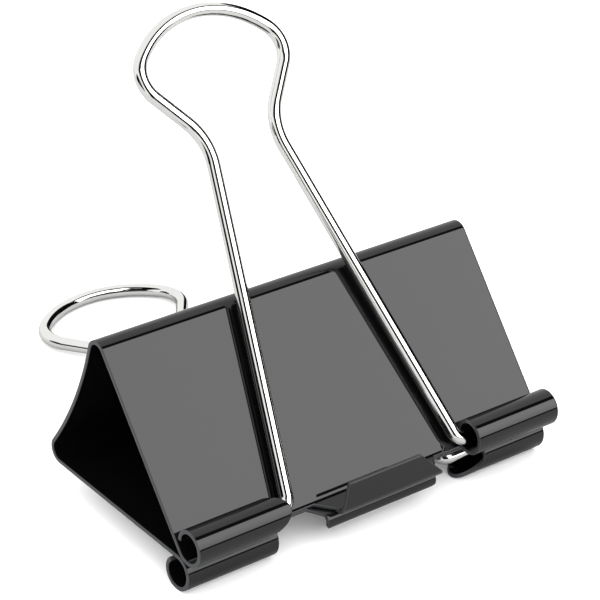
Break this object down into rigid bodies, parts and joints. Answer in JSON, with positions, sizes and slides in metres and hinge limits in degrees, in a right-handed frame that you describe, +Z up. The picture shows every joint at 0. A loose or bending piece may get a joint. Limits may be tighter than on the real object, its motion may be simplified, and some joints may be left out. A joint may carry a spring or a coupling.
{
  "type": "binder clip",
  "caption": "Large black binder clip: a triangular sprung sheet-steel body whose jaws are opened by two folding loops of plated wire held in rolled flaps.",
  "frame": {"origin": "on the surface that the clip lies on, at the middle of the footprint of its bounding box", "axes": "+Z up; X along the jaws; the jaws open towards -Y, and the spine and the folded handles point to +Y. The clip lies on its lower rolls and the end of its lower handle, so its own mid-plane leans by 23.5 degrees"},
  "size_m": [0.051, 0.0602, 0.0485],
  "materials": {
    "black_enamel": "high-gloss black stoving enamel on spring steel",
    "plated_wire": "bright nickel plate on drawn steel wire"
  },
  "bodies": {
    "spine": {"spine": "black_enamel", "upper_bend": "black_enamel", "lower_bend": "black_enamel"},
    "upper_jaw": {"upper_jaw": "black_enamel"},
    "lower_jaw": {"lower_jaw": "black_enamel"},
    "upper_handle": {"upper_handle": "plated_wire"},
    "lower_handle": {"lower_handle": "plated_wire"}
  },
  "joints": [
    {"name": "upper_jaw_open", "type": "hinge", "parent": "spine", "child": "upper_jaw", "pos_m": [0, -0.01036, 0.02101], "axis": [-1, 0, 0], "range_deg": [0, 28], "stiffness_Nm_per_rad": 3, "deforming": ["upper_bend"]},
    {"name": "lower_jaw_open", "type": "hinge", "parent": "spine", "child": "lower_jaw", "pos_m": [0, -0.00339, 0.00496], "axis": [1, 0, 0], "range_deg": [0, 28], "stiffness_Nm_per_rad": 3, "deforming": ["lower_bend"]},
    {"name": "upper_handle_swing", "type": "hinge", "parent": "upper_jaw", "child": "upper_handle", "pos_m": [0, -0.02737, 0.0059], "axis": [1, 0, 0], "range_deg": [0, 154]},
    {"name": "lower_handle_swing", "type": "hinge", "parent": "lower_jaw", "child": "lower_handle", "pos_m": [0, -0.02605, 0.00285], "axis": [-1, 0, 0], "range_deg": [0, 154]}
  ],
  "couplings": [
    {"joint": "lower_jaw_open", "follows": "upper_jaw_open", "ratio": 1}
  ]
}
